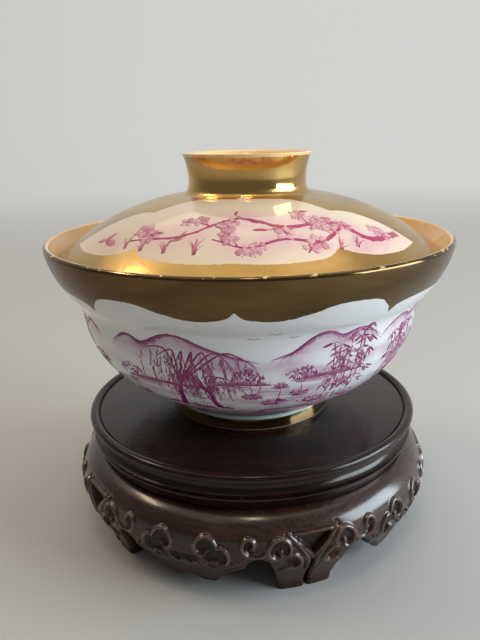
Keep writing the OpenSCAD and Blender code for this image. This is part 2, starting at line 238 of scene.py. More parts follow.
def carved_surface(turn, run):
    """Radius and height of points on the carved outside, and how far they stand out, from -1 to 1."""
    r, z = along_drum(run, drum_line)
    from_foot = (BLOCK_TURN / 2 - np.abs(turn)) * mm_per_degree
    flat = np.column_stack([from_foot, z])
    raised, ground = np.zeros(len(turn)), np.zeros(len(turn))
    for line, half_width, height, cut in carved_lines:
        gap, along = gap_to_line(flat, line)
        taper = thin_end + (1 - thin_end) * np.sin(np.pi * np.clip(along, 0, 1)) ** 0.5
        raised = np.maximum(raised, height * taper * swell(gap / (half_width * taper)))
        ground = np.maximum(ground, cut * np.clip(cut_reach - gap, 0, 1))
    for spot, radius, height in beads:
        gap = np.linalg.norm(flat - np.array(spot), axis=1)
        raised = np.maximum(raised, height * (1 - np.clip(gap / radius, 0, 1) ** 2))
    ground[raised > 0] = 0
    for outline, deep in sunk_grounds:
        gap = gap_to_line(flat, outline)[0]
        share = np.clip((gap - ground_start) / ground_wall, 0, 1) * inside_of(flat, outline)
        ground = np.maximum(ground, deep * share * share * (3 - 2 * share))
    across = r * np.sin(np.radians(BLOCK_TURN / 2 - np.abs(turn)))
    slant = (triangle_top - triangle_low) / triangle_half
    inside = np.minimum(triangle_top - z, (z - triangle_low - across * slant) / math.hypot(1, slant))
    sunk = triangle_deep * np.clip(inside / triangle_wall, 0, 1)
    lift = np.where(inside > 0, -sunk, raised - ground)
    stands = np.clip(lift / full_relief, -1, 1)
    left = wood_left(turn, run)
    on_foot = np.clip((tongue_top - z) / tongue_blend, 0, 1) * (from_foot < tongue_half)
    edge = edge_round + (tongue_round - edge_round) * on_foot
    rounding = edge - np.sqrt(edge ** 2 - np.clip(edge - left, 0, edge) ** 2)
    flare = tongue_flare * np.clip(1 - z / flare_h, 0, 1) ** 2 * on_foot
    lift = lift + np.where(inside > 0, 0, flare - rounding)
    by_slit = np.clip((slit_round + split_half - across) / slit_round, 0, 1)
    by_slit = np.minimum(by_slit * np.clip(split_top + slit_fade - z, 0, 1), slit_steep)
    lift = lift - slit_round * (1 - np.sqrt(1 - by_slit ** 2))
    lift = np.where((across < split_half) & (z < split_top), np.minimum(lift, -split_deep), lift)
    out_r, out_z = along_drum(run, drum_out)
    off_edge = (left > 0.02) * (run > 0)
    return r + lift * out_r, z + lift * out_z * off_edge, stands


def carry(mesh, label, numbers):
    """Let the points of a mesh carry a number each, for its materials to read."""
    mesh.attributes.new(label, "FLOAT", "POINT").data.foreach_set("value", numbers)


def new_mesh(name, verts, faces, materials, slots=None, crease=None, **carried):
    """A smooth mesh with materials. Edges that bend by more than a crease, in degrees, stay sharp."""
    mesh = bpy.data.meshes.new(name)
    mesh.from_pydata(verts, [], faces)
    for material in materials:
        mesh.materials.append(material)
    if slots:
        mesh.polygons.foreach_set("material_index", slots)
    for label, numbers in carried.items():
        carry(mesh, label, numbers)
    mesh.validate()
    mesh.shade_smooth()
    if crease:
        mesh.set_sharp_from_angle(angle=math.radians(crease))
    return mesh


def new_piece(name, data):
    """A new object in the scene, made of a mesh, lamp or lens."""
    piece = bpy.data.objects.new(name, data)
    bpy.context.scene.collection.objects.link(piece)
    return piece


def block_mesh(name, material):
    """One carved block, middle to the front: fine carved outside, plain bore, sawn edges between them."""
    fine = np.concatenate([slit_steps, np.arange(1.2, carved_half, carved_step)]) / mm_per_degree
    turns = np.concatenate([fine - BLOCK_TURN / 2, [0], BLOCK_TURN / 2 - fine[::-1]])
    carved_end = np.interp(carved_top, drum_line[:, 1], drum_run)
    plain = np.linspace(carved_end, drum_run[-1], 14)
    runs = np.concatenate([np.arange(0, carved_end, carved_step), plain])
    rows, columns = len(runs), len(turns)
    turn = np.repeat(turns, rows)
    run = np.tile(runs, columns)
    left = wood_left(turn, run)
    left[np.abs(left) < hair] = hair
    points = list(zip(turn, run))
    crossings = {}

    def crossing(p, q):
        key = (min(p, q), max(p, q))
        if key not in crossings:
            share = left[p] / (left[p] - left[q])
            crossings[key] = len(points)
            spots = zip(points[p], points[q])
            points.append(tuple(start + share * (end - start) for start, end in spots))
        return crossings[key]

    outside = []
    for i in range(columns - 1):
        for j in range(rows - 1):
            cell = [i * rows + j, (i + 1) * rows + j, (i + 1) * rows + j + 1, i * rows + j + 1]
            kept = [left[p] > 0 for p in cell]
            if all(kept):
                outside.append(cell)
            elif any(kept):
                face = []
                for p, q in zip(cell, cell[1:] + cell[:1]):
                    if left[p] > 0:
                        face.append(p)
                    if (left[p] > 0) != (left[q] > 0):
                        face.append(crossing(p, q))
                outside.append(face)
    used = sorted({p for face in outside for p in face})
    place = {p: k for k, p in enumerate(used)}
    outside = [[place[p] for p in face] for face in outside]
    flat = np.array([points[p] for p in used])
    r, z, stands = carved_surface(flat[:, 0], flat[:, 1])
    edges = {(p, q) for face in outside for p, q in zip(face, face[1:] + face[:1])}
    rim = [(p, q) for p, q in edges if (q, p) not in edges]
    rim_points = sorted({p for edge in rim for p in edge})
    twin = {p: len(used) + k for k, p in enumerate(rim_points)}
    sides = [(q, p, twin[p], twin[q]) for p, q in rim]
    number = {p: k for k, p in enumerate(rim_points)}
    corners = [Vector((flat[p, 0] * mm_per_degree, z[p])) for p in rim_points]
    fences = [(number[p], number[q]) for p, q in rim]
    fill = delaunay_2d_cdt(corners, fences, [], 1, 1e-5)
    bore = []
    for face in fill[2]:
        known = [fill[3][k][0] for k in face if fill[3][k]]
        if len(known) == 3:
            bore.append([twin[rim_points[k]] for k in known][::-1])
    a = np.radians(np.append(flat[:, 0], flat[rim_points, 0]))
    all_r = np.append(r, np.full(len(rim_points), bore_r))
    all_z = np.append(z, z[rim_points])
    verts = np.column_stack([all_r * np.sin(a), -(all_r * np.cos(a)), all_z]) * MM
    # The points carry how far the relief stands out; the wood uses it for painted shade in hollows and a
    # painted highlight on ridges.
    worn = np.append(stands, np.zeros(len(rim_points)))
    return new_mesh(name, verts.tolist(), outside + sides + bore, [material], crease=50, worn=worn)


def fill_socket(socket, value):
    """Link a field to a socket, or set a number or colour on it."""
    if isinstance(value, Field):
        value.tree.links.new(value.socket, socket)
    else:
        socket.default_value = value


class Field:
    """A value that varies over a surface. Python's operators on it add Math nodes to its material."""

    def __init__(self, tree, socket=None):
        self.tree = tree
        self.socket = socket

    def add(self, kind, settings=None, sockets=None, out=0):
        """New node of a kind: its settings first, then values or fields for its sockets; gives one output."""
        node = self.tree.nodes.new("ShaderNode" + kind)
        for name, value in (settings or {}).items():
            if name == "curve":
                line = node.mapping.curves[0].points
                while len(line) < len(value):
                    line.new(1, 1)
                for point, (x, y, *sharp) in zip(line, value):
                    point.location = (x, y)
                    point.handle_type = "VECTOR" if sharp else "AUTO"
                node.mapping.update()
            else:
                setattr(node, name, value)
        for name, value in (sockets or {}).items():
            fill_socket(node.inputs[name], value)
        return Field(self.tree, node.outputs[out])

    def math(self, operation, first, *others):
        """A Math node on fields and numbers."""
        return self.add("Math", {"operation": operation}, dict(enumerate((first, *others))))

    def __add__(self, other):
        return self.math("ADD", self, other)

    __radd__ = __add__

    def __sub__(self, other):
        return self.math("SUBTRACT", self, other)

    def __rsub__(self, other):
        return self.math("SUBTRACT", other, self)

    def __mul__(self, other):
        return self.math("MULTIPLY", self, other)

    __rmul__ = __mul__

    def __truediv__(self, other):
        return self.math("DIVIDE", self, other)

    def __neg__(self):
        return self.math("MULTIPLY", self, -1)

    def __lt__(self, other):
        return self.math("LESS_THAN", self, other)

    def __abs__(self):
        return self.math("ABSOLUTE", self)

    def rise(self, low, high):
        """0 below low, 1 above high and smooth between."""
        return self.add("MapRange", {"interpolation_type": "SMOOTHSTEP"},
                        {"Value": self, "From Min": low, "From Max": high})

    def blend(self, first, second):
        """The first colour where this field is 0, and the second where it is 1."""
        return self.add("Mix", {"data_type": "RGBA"}, {"Factor": self, 6: first, 7: second}, 2)

    def curve(self, points):
        """A curve over this field. It bends smoothly through its points, apart from those marked sharp."""
        return self.add("FloatCurve", {"curve": points}, {"Value": self})

    def noise(self, scale, detail=3.0, rough=0.55):
        """Cloudy value round 0.5 at this place, with so many clouds to the metre in each direction."""
        spot = self.add("Mapping", sockets={"Vector": self, "Scale": scale})
        sizes = {"Scale": 1, "Detail": detail, "Roughness": rough}
        return self.add("TexNoise", sockets={"Vector": spot, **sizes})

    def parts(self):
        """Across, towards the back, and up."""
        return [self.add("SeparateXYZ", sockets={"Vector": self}, out=k) for k in range(3)]

    def up(self):
        """Height of this place in millimetres."""
        return self.add("SeparateXYZ", sockets={"Vector": self}, out="Z") / MM

    def carried(self, label):
        """The number that the points of the mesh carry under a label."""
        return self.add("Attribute", {"attribute_name": label}, out="Fac")

    def bump(self, strength, distance):
        """How the surface leans under this relief."""
        return self.add("Bump", sockets={"Strength": strength, "Distance": distance, "Height": self})


def new_finish(name):
    """New material, its shader's sockets by name, and the field of places on the piece, in metres."""
    material = bpy.data.materials.new(name)
    material.use_nodes = True
    tree = material.node_tree
    return material, tree.nodes["Principled BSDF"].inputs, Field(tree).add("TexCoord", out="Object")


def feed(sockets, **values):
    """Fill a shader's sockets by name. An underscore in a name stands for a space."""
    for name, value in values.items():
        fill_socket(sockets[name.replace("_", " ")], value)


# Old wax for pores and, as painted shade, hollows; rubbed wood with a painted highlight for ridges; pale
# specks.
old_wax_and_painted_shade, rubbed_wood_and_painted_highlight, pale_speck = (0.005, 0.0032, 0.0028, 1), (0.115, 0.05, 0.034, 1), (0.16, 0.115, 0.085, 1)


def hardwood(name, dark, red, gloss, shine, wax):
    """Oiled and waxed dense hardwood with its grain along X. Ridges are rubbed and get a painted highlight;
    hollows hold old wax and painted shade.
    """
    material, sockets, place = new_finish(name)
    streak = place.noise((45, 1100, 1100), 4, 0.6)
    broad = place.noise((14, 170, 170), 2)
    pores = place.noise((420, 3600, 3600), 2).rise(0.6, 0.7)
    specks = place.noise((1900, 2600, 2600), 1).rise(0.71, 0.78)
    worn = place.carried("worn")
    hollow, ridge = (-worn).rise(0.1, 1), worn.rise(0.3, 1)
    polish = place.up().rise(8, 20)
    tint = (streak * 0.65 + broad * 0.35).rise(0.36, 0.66).blend((*dark, 1), (*red, 1))
    # Pores darken towards old wax, and carved hollows too: there partly old wax, partly painted shade of the
    # recess.
    tint = (pores * 0.6 + hollow * 0.5).blend(tint, old_wax_and_painted_shade)
    # Raised ridges are painted lighter: partly rubbed wood, partly a painted highlight on their tops.
    tint = (ridge * 0.55).blend(tint, rubbed_wood_and_painted_highlight)
    # Pale specks scattered over the wood at random.
    feed(sockets, Base_Color=(specks * 0.35).blend(tint, pale_speck))
    rub = place.noise((90, 90, 90))
    feed(sockets, Roughness=gloss + rub * 0.14 + pores * 0.15 + hollow * 0.2 + ridge * 0.06)
    feed(sockets, Coat_Weight=wax * (0.15 + polish * 0.85) * (1 - hollow * 0.6) + ridge * 0.7)
    feed(sockets, Normal=(streak * 0.3 - pores).bump(0.12, 0.0001))
    feed(sockets, Coat_Roughness=0.17, Specular_IOR_Level=shine)
    return material


carved_wood = hardwood("carved_hardwood", (0.017, 0.0078, 0.006), (0.06, 0.022, 0.0145), 0.19, 0.2, 0.8)
carved_block = block_mesh("carved_block", carved_wood)
for k, node in enumerate(BLOCKS):
    block = new_piece("carved_" + node, carved_block.copy())
    block.rotation_euler.z = math.radians(FRONT_FOOT + (k - 0.5) * BLOCK_TURN)
    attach(block, "stand")
    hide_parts(node)


# Joinery of the stand
# Flat tongues glued across the five butt joints, and turned pegs between the drum and the tray, all of a
# paler wood that is left as it was sawn. They stay hidden once the stand is glued up.

joinery_wood = hardwood("sawn_joinery_wood", (0.17, 0.09, 0.045), (0.36, 0.21, 0.12), 0.5, 0.3, 0.0)
for node in ("joint_splines", "tray_dowels"):
    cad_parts[node].data.materials.clear()
    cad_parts[node].data.materials.append(joinery_wood)


# Tray of the stand
# One hardwood board turned on the lathe: a flat for the bowl's foot inside a half-round lip, a hollow cove
# under the lip and a thin drip edge above the carved drum. Its grain runs from left to right.

tray_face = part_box("bowl")[0].z / MM
tray_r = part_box("tray_board")[1].x / MM
lip_w, lip_h = 2.5, 0.9
lip_c = (tray_r - lip_w / 2, tray_face + lip_h - lip_w / 2)
cove_c, cove_r = (tray_r - 0.2, tray_face - 3.2), 2.6
drip_r, drip_z, base_r = 47.4, tray_face - 6.2, 45.6
quirk, quirk_round, drip_round, flat_r = 0.45, 0.15, 0.4, 30.0
lip_end = 184.0


def rounded(points, radius, steps=4):
    """A line of straight runs with its inner corners rounded."""
    points = [np.array(p, float) for p in points]
    line = [points[0]]
    for before, corner, after in zip(points, points[1:], points[2:]):
        a, b = before - corner, after - corner
        room = min(radius, np.linalg.norm(a) / 2, np.linalg.norm(b) / 2)
        a, b = a / np.linalg.norm(a) * room, b / np.linalg.norm(b) * room
        for share in np.linspace(0, 1, steps + 1):
            line.append(corner + a * (1 - share) ** 2 + b * share ** 2)
    return np.array(line + [points[-1]])


def turned(name, parts, steps=288):
    """A lathe-turned piece: a closed line of (radius, height) runs, each with the material that it takes."""
    line, finish_of = [], []
    for points, material in parts:
        for p in points:
            if line and np.linalg.norm(np.array(p) - line[-1]) < 1e-6:
                continue
            line.append(np.array(p, float))
            finish_of.append(material)
    a = np.linspace(0, 2 * np.pi, steps, endpoint=False)
    verts, rings = [], []
    for r, z in line:
        if r < 1e-6:
            rings.append([len(verts)])
            verts.append((0, 0, z * MM))
        else:
            rings.append(list(range(len(verts), len(verts) + steps)))
            verts.extend(zip(r * np.sin(a) * MM, -r * np.cos(a) * MM, [z * MM] * steps))
    faces, slots = [], []
    materials = list(dict.fromkeys(finish_of))
    for k in range(len(line) - 1):
        low, high = rings[k], rings[k + 1]
        for i in range(steps):
            j = (i + 1) % steps
            face = [low[i % len(low)], low[j % len(low)], high[j % len(high)], high[i % len(high)]]
            face = list(dict.fromkeys(face))
            if len(face) > 2:
                faces.append(face)
                slots.append(materials.index(finish_of[k + 1]))
    return new_piece(name, new_mesh(name, verts, faces, materials, slots, crease=38))


def meeting(c0, r0, c1, r1, side):
    """One of the two points where two circles cross."""
    c0, c1 = np.array(c0), np.array(c1)
    d = np.linalg.norm(c1 - c0)
    way = (c1 - c0) / d
    along = (r0 ** 2 - r1 ** 2 + d ** 2) / (2 * d)
    return c0 + along * way + side * math.sqrt(r0 ** 2 - along ** 2) * np.array([-way[1], way[0]])


def heading(centre, point):
    """Angle in degrees from a centre to a point, counted as an arc's angles are."""
    return math.degrees(math.atan2(point[1] - centre[1], point[0] - centre[0])) % 360


# The tray takes a far darker copy of the drum's hardwood: painted shade for the tray under the bowl.
shaded_turned_wood = hardwood("turned_hardwood", (0.0045, 0.0022, 0.0019), (0.027, 0.0076, 0.0048), 0.14, 0.27, 0.15)
under_lip = meeting(cove_c, cove_r, lip_c, lip_w / 2, 1)
cove_foot = (drip_r, cove_c[1] - math.sqrt(cove_r ** 2 - (cove_c[0] - drip_r) ** 2))
lip_in = tray_r - lip_w
tray_line = np.vstack([
    rounded([(0, drum_top), (base_r, drum_top), (drip_r, drip_z), cove_foot], drip_round),
    arc(cove_c, cove_r, heading(cove_c, cove_foot), heading(cove_c, under_lip), 20)[1:],
    arc(lip_c, lip_w / 2, heading(lip_c, under_lip) - 360, lip_end, 32)[1:],
    rounded([(lip_in, lip_c[1]), (lip_in - quirk / 2, tray_face - quirk), (lip_in - quirk, tray_face),
             (flat_r, tray_face), (0, tray_face)], quirk_round)[1:],
])
tray = turned("turned_tray", [(tray_line, shaded_turned_wood)])
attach(tray, "stand")
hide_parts("tray_board")


# Bowl
# One thrown porcelain piece on a foot ring: a round body that turns out at a crease into a flared lip. The
# lip is gilded down to a lobed edge, and the white body below it is painted in puce enamel over the glaze.

bowl_foot = tray_face
rim_r, bowl_h, bowl_wall = 56.2, 50.5, 2.2
hip_c, hip_round, crease_rise = (21.2, bowl_foot + 33.5), 26.0, 0.8
lip_round = 27.0
foot_r, foot_draw, foot_h, foot_w, foot_hollow, foot_bevel = 23.35, 0.75, 3.5, 3.0, 2.4, 0.4
foot_gilt = 0.86
bowl_floor = bowl_foot + 4.8
floor_blend = 20.0
panel_middle, panel_half = -3.4, 41.4
crease_soft, lip_thinned, rim_crown = 7.0, 6.0, 88.0


def arc_middle(a, b, radius):
    """Centre of the arc that rises from a to b and bulges away from the axis."""
    a, b = np.array(a), np.array(b)
    d = b - a
    across = np.array([-d[1], d[0]]) / np.linalg.norm(d)
    return (a + b) / 2 + math.sqrt(radius ** 2 - d @ d / 4) * across


crease = (hip_c[0] + math.sqrt(hip_round ** 2 - crease_rise ** 2), hip_c[1] + crease_rise)
flare_c = arc_middle(crease, (rim_r, bowl_foot + bowl_h), lip_round)
rim_edge = 0.85
rim_z = bowl_foot + bowl_h - rim_edge
rim_c = np.array([flare_c[0] + math.sqrt((lip_round - rim_edge) ** 2 - (rim_z - flare_c[1]) ** 2), rim_z])
neck = np.array([foot_r - foot_draw, bowl_foot + foot_h])
to_hip = np.array(hip_c) - neck
cone = math.atan2(to_hip[1], to_hip[0]) - math.asin(hip_round / np.linalg.norm(to_hip))
cone_way = np.array([math.cos(cone), math.sin(cone)])
cone_face = np.array([math.sin(cone), -math.cos(cone)])
cone_top = np.array(hip_c) + hip_round * cone_face
cone_top_in = np.array(hip_c) + (hip_round - bowl_wall) * cone_face
floor_corner = cone_top_in - (cone_top_in[1] - bowl_floor) / math.sin(cone) * cone_way
blend_l = floor_blend * math.tan(cone / 2)

glaze_white, pooled_glaze = (0.80, 0.81, 0.835, 1), (0.47, 0.62, 0.57, 1)
# The cream is painted a deep orange: partly the glaze's own cream, partly painted warm light from the gold
# lid.
glaze_cream, glaze_ivory = (0.96, 0.65, 0.30, 1), (0.90, 0.74, 0.52, 1)
glaze_cloud = (0.2, 0.13, 0.08, 1)
glaze_deep, glaze_shallow = bowl_foot + 12, bowl_foot + 44
pool_low, pool_high = foot_h + 0.2, foot_h + 0.8
# The lip's and foot's gold is painted much darker than the lid's: painted reflection of the dark tray and
# room.
lip_gold_painted_dark = ((0.105, 0.063, 0.026, 1), (0.185, 0.12, 0.054, 1))
lip_gilt_low, lip_gilt_span = 38.0, 6.0
rubbed_w, rubbed_bare = 0.55, 0.1
puce_wash = (0.40, 0.09, 0.28, 1)


def gold_colour(place, tones):
    """Burnished gold that is thinner and browner in long streaks, as the brush laid it."""
    return place.noise((40, 40, 160)).rise(0.25, 0.75).blend(*tones)


def gold_skin(place, grain):
    """Waves of the thrown wall under the gold, and the fine grain that it fires to."""
    waves = place.noise((120, 120, 200), 2) + place.noise((2600, 2600, 2600), 1) * grain
    return waves.bump(0.12, 0.0004)


def gilding(name, tones, edge_z):
    """Fired and burnished gilding with wiped streaks in its shine, rubbed through along its top edge."""
    material, sockets, place = new_finish(name)
    at_edge = place.up().rise(edge_z - rubbed_w, edge_z - rubbed_bare)
    rubbed = place.noise((420, 420, 900)).rise(0.56, 0.66) * at_edge
    feed(sockets, Base_Color=rubbed.blend(gold_colour(place, tones), glaze_cream))
    feed(sockets, Metallic=1 - rubbed, Normal=gold_skin(place, 0.06))
    feed(sockets, Roughness=0.05 + place.noise((160, 160, 500)) * 0.08)
    return material


def thrown_waves(place):
    """Faint waves of the thrown wall under its glaze."""
    return place.noise((90, 90, 240), 2).bump(0.05, 0.0003)


def plain_glaze(name, colour, inside=None):
    """Clear glaze over a tinted body. It may have another tint deep in the bowl."""
    material, sockets, place = new_finish(name)
    cloud = place.noise((35, 35, 60))
    tint = place.up().rise(glaze_deep, glaze_shallow).blend(inside or colour, colour)
    feed(sockets, Base_Color=(cloud.rise(0.3, 0.7) * 0.07).blend(tint, glaze_cloud))
    feed(sockets, Roughness=0.07 + cloud * 0.08, Normal=thrown_waves(place))
    feed(sockets, Coat_Weight=0.4, Coat_Roughness=0.05)
    return material


def from_panel(x, y, middle):
    """The angle from a panel's middle, or from the place straight behind it where that is nearer."""
    angle = x.math("ARCTAN2", x, -y)
    turned_by = abs(x.math("WRAP", angle - math.radians(middle), math.pi, -math.pi))
    return x.math("MINIMUM", turned_by, math.pi - turned_by)


def hand_wobble(place):
    """How far a line drawn with the brush strays, in millimetres."""
    return (place.noise((700, 700, 700), 1) - 0.5) * 0.3


def over_edge(past):
    """0 short of a brushed edge and 1 past it, from the distance past it in millimetres."""
    return past.rise(-0.06, 0.06)


def streaky_wash(place, scale):
    """The thin wash that the points carry, in the streaks of a wide brush."""
    return place.carried("wash") * (0.3 + place.noise(scale) * 1.4)


def painted_bowl(name):
    """White glaze with soft puce washes, and gilding above a lobed edge, lower on the side panels."""
    material, sockets, place = new_finish(name)
    x, y, z = place.parts()
    folded = from_panel(x, y, panel_middle)
    wide, quarter = math.radians(panel_half), math.pi / 2
    front = folded < wide
    share = front * (folded / wide) + (1 - front) * ((quarter - folded) / (quarter - wide))
    front_lobes = share.curve([
        (0, 0.74, "sharp"), (0.09, 0.40), (0.22, 0.33), (0.42, 0.56), (0.62, 0.88), (0.80, 0.86),
        (0.93, 0.50), (1, 0.04, "sharp")])
    side_lobes = share.curve([
        (0, 0.68, "sharp"), (0.10, 0.42), (0.26, 0.35), (0.45, 0.47), (0.62, 0.53), (0.80, 0.51),
        (0.90, 0.45), (0.955, 0.36), (1, 0.04, "sharp")])
    lobes = front * front_lobes + (1 - front) * side_lobes
    height = (z / MM - bowl_foot) + hand_wobble(place)
    gilt = over_edge(height - (lobes * lip_gilt_span + lip_gilt_low))
    tint = streaky_wash(place, (60, 60, 900)).blend(glaze_white, puce_wash)
    tint = height.rise(pool_low, pool_high).blend(pooled_glaze, tint)
    feed(sockets, Base_Color=gilt.blend(tint, gold_colour(place, lip_gold_painted_dark)), Metallic=gilt)
    feed(sockets, Roughness=0.08 + gilt * (0.09 + place.noise((120, 120, 300)) * 0.16))
    feed(sockets, Normal=thrown_waves(place), Coat_Weight=(1 - gilt) * 0.4, Coat_Roughness=0.05)
    return material


gold = gilding("lip_gilding_painted_dark", lip_gold_painted_dark, bowl_foot + bowl_h)
white_glaze = plain_glaze("white_glaze", glaze_white)
bare_edge = plain_glaze("bare_foot_edge", (0.22, 0.17, 0.14, 1))
cream_glaze = plain_glaze("cream_glaze", glaze_cream, glaze_ivory)
bowl_painting = painted_bowl("painted_glaze_with_gilt_lip")

foot_in = foot_r - foot_w
foot_line = rounded([
    (0, bowl_foot + foot_hollow), (foot_in, bowl_foot + foot_hollow), (foot_in, bowl_foot),
    (foot_r, bowl_foot), (foot_r - foot_draw * foot_gilt, bowl_foot + foot_gilt * foot_h)], foot_bevel)
hip_line = arc(hip_c, hip_round, heading(hip_c, cone_top) - 360, heading(hip_c, crease) - crease_soft, 64)
flare_line = arc(flare_c, lip_round, heading(flare_c, crease) - 360 + crease_soft,
                 heading(flare_c, rim_c) - 360, 36)
crease_line = bent_line(hip_line[-1], np.array(crease), flare_line[0], 13)[1:-1]
body_line = np.vstack([[foot_line[-1], neck], hip_line, crease_line, flare_line])
rim_way = heading(flare_c, rim_c)
rim_line = arc(rim_c, rim_edge, rim_way - 360, rim_crown, 10)
rim_top = arc(rim_c, rim_edge, rim_crown, rim_way - 180, 8)
crease_in = meeting(hip_c, hip_round - bowl_wall, flare_c, lip_round - bowl_wall, -1)
lip_in_turn = np.radians(np.linspace(rim_way, heading(flare_c, crease_in), 31))
thinned = np.clip(1 - (lip_in_turn[0] - lip_in_turn) * lip_round / lip_thinned, 0, 1) ** 2
lip_in_r = lip_round - bowl_wall + (bowl_wall - 2 * rim_edge) * thinned
inner_line = np.vstack([
    np.array(flare_c) + lip_in_r[:, None] * np.column_stack([np.cos(lip_in_turn), np.sin(lip_in_turn)]),
    arc(hip_c, hip_round - bowl_wall, heading(hip_c, crease_in), heading(hip_c, cone_top_in) - 360, 40),
    arc(floor_corner - np.array([blend_l, -floor_blend]), floor_blend, math.degrees(cone) - 90, -90, 14),
    [(0, bowl_floor)],
])
bowl = turned("porcelain_bowl", [
    (foot_line[:6], white_glaze), (foot_line[6:-1], bare_edge), (foot_line[-1:], gold),
    (body_line, bowl_painting), (rim_line, gold), (rim_top, cream_glaze), (inner_line, cream_glaze)], 360)
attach(bowl, "bowl")
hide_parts("bowl")


# Painting on the bowl
# Puce enamel laid over the fired glaze with a pointed brush, so each stroke stands a little proud of it:
# willows and bamboo over still water, with lotus, rocks, low bushes and birds. The panels hold like views.

enamel_t, enamel_edge, enamel_root = 0.05, 0.012, 0.06
body_run, body_slope = run_of(body_line)
body_mean_r = 46.0
stroke_step, stroke_steps, stroke_thin, wide_stroke = 1.1, (3, 24), 0.06, 1.3
crest_ends, crest_over, slope_h = 5.0, 0.3, 9.0
BRUSH_SHAPES = {
    "leaf": lambda t: np.sin(np.pi * t) ** 0.7,
    "line": lambda t: np.minimum(1, 5 * np.minimum(t, 1 - t) + 0.12) ** 0.7,
    "blade": lambda t: (1 - t) ** 0.7,
    "stem": lambda t: 1 - 0.65 * t,
    "fan": lambda t: t ** 0.8 * np.minimum(1, 4 * (1 - t) + 0.2) ** 0.5,
}


def on_bowl(middle):
    """Where a flat painting lies on the bowl: across from a panel's middle, and up its side from the foot."""
    def lay(flat):
        a = np.radians(middle) + flat[:, 0] / body_mean_r
        r, z, slope_r, slope_z = (np.interp(flat[:, 1], body_run, v) for v in (*body_line.T, *body_slope.T))
        spot = np.column_stack([r * np.sin(a), -r * np.cos(a), z])
        return spot, np.column_stack([slope_z * np.sin(a), -slope_z * np.cos(a), -slope_r])
    return lay


def brush_piece(name, lay, strokes, enamel):
    """Strokes of enamel as thin closed forms. Each has points, width, tone and shape; lay places it."""
    verts, faces, tones = [], [], []
    for points, width, tone, shape in strokes:
        length = np.sum(np.linalg.norm(np.diff(np.array(points, float), axis=0), axis=1))
        steps = int(np.clip(length / stroke_step, *stroke_steps))
        line = smooth_line(points, steps)
        way = np.gradient(line, axis=0)
        way /= np.linalg.norm(way, axis=1)[:, None] + 1e-9
        side = np.column_stack([-way[:, 1], way[:, 0]])
        half = np.maximum(BRUSH_SHAPES[shape](np.linspace(0, 1, steps + 1)), stroke_thin) * width / 2
        rings = []
        for share in (-1, 0, 1) if width < wide_stroke else (-1, -0.5, 0, 0.5, 1):
            spot, out = lay(line + side * (half * share)[:, None])
            rings.append(spot + out * (enamel_t * (1 - share * share) - enamel_edge))
        spot, out = lay(line)
        rings.append(spot - out * enamel_root)
        first, around = len(verts), len(rings)
        verts.extend(np.stack(rings, axis=1).reshape(-1, 3) * MM)
        tones.extend([tone] * around * (steps + 1))
        for low in range(first, first + steps * around, around):
            for i in range(around):
                j = (i + 1) % around
                faces.append((low + i, low + around + i, low + around + j, low + j))
        faces.append(tuple(first + i for i in range(around)))
        faces.append(tuple(first + steps * around + i for i in reversed(range(around))))
    return new_piece(name, new_mesh(name, [tuple(v) for v in verts], faces, [enamel], tone=tones))


def puce_enamel(name, deep, pale):
    """Fired enamel, paler where the brush held less of it, with streaks along the strokes."""
    material, sockets, place = new_finish(name)
    tone = place.carried("tone")
    patchy = place.noise((900, 900, 1500), 2) * 0.5 - 0.25
    feed(sockets, Base_Color=(tone + patchy * tone).rise(0.0, 0.9).blend(pale, deep))
    feed(sockets, Roughness=0.18, Specular_IOR_Level=0.35)
    return material


def leaf_stroke(draw, spot, swing, long, wide, tone, up=-1.0):
    """One leaf that swings to either side, with its length, width and tone drawn from ranges."""
    turn, reach = draw(-swing, swing), draw(*long)
    tip = np.array(spot) + (reach * math.sin(turn), reach * math.cos(turn) * up)
    return [spot, tip], draw(*wide), draw(*tone), "leaf"


def willow(draw, x, y, height, lean):
    """A willow: leaning trunk, a few boughs, and strands of small leaves that hang from them."""
    crown = (x + lean * height * 0.3, y + height * 0.7)
    fork = (x + lean * height * 0.12, y + height * 0.45)
    yield [(x, y), (x + lean * 1.4, y + height * 0.22), fork, crown], 2.4, 0.95, "stem"
    yield [(x - lean * 0.5, y + 0.2), (x + lean * 0.9, y + height * 0.2)], 1.4, 0.9, "blade"
    for k in range(7):
        reach = (k / 3 - 1) * height * 0.55 + draw(-1, 1)
        bend = (crown[0] + reach * 0.5, crown[1] + height * 0.12)
        end = (crown[0] + reach, crown[1] + height * draw(-0.06, 0.12))
        bough = smooth_line([fork, bend, end], 12)
        yield bough[::3], 0.85, 0.9, "stem"
        for spot in bough[4::2]:
            drop = height * draw(0.2, 0.5)
            bow = draw(-0.7, 0.7) + (spot[0] - crown[0]) * 0.1
            hang = [spot, spot + (bow, -drop * 0.4), spot + (bow * 1.3, -drop)]
            strand = smooth_line(hang, int(drop / 1.1) + 2)
            yield strand, 0.22, 0.75, "line"
            for leaf in strand[1:]:
                yield leaf_stroke(draw, leaf, 0.6, (1.1, 2.0), (0.34, 0.54), (0.35, 0.95))


def bamboo(draw, x, y, height, stems):
    """A clump of bamboo: jointed stems and sprays of pointed leaves."""
    for k in range(stems):
        foot, lean = x + (k - stems / 2) * 1.9, draw(-2.5, 3.5)
        tall = height * draw(0.75, 1.0)
        stem = smooth_line([(foot, y), (foot + lean * 0.3, y + tall * 0.55), (foot + lean, y + tall)], 6)
        for a, b in zip(stem[:-1], stem[1:]):
            yield [a + (b - a) * 0.05, b - (b - a) * 0.05], 0.7, 0.7, "line"
        for spot in np.repeat(stem[2:], 2, axis=0):
            start = spot + (draw(-2.4, 2.4), draw(-0.8, 0.8))
            yield [spot, start], 0.25, 0.8, "line"
            for leaf in range(3):
                yield leaf_stroke(draw, start, 1.3, (2.2, 4.2), (0.6, 0.9), (0.4, 0.95), -0.8)


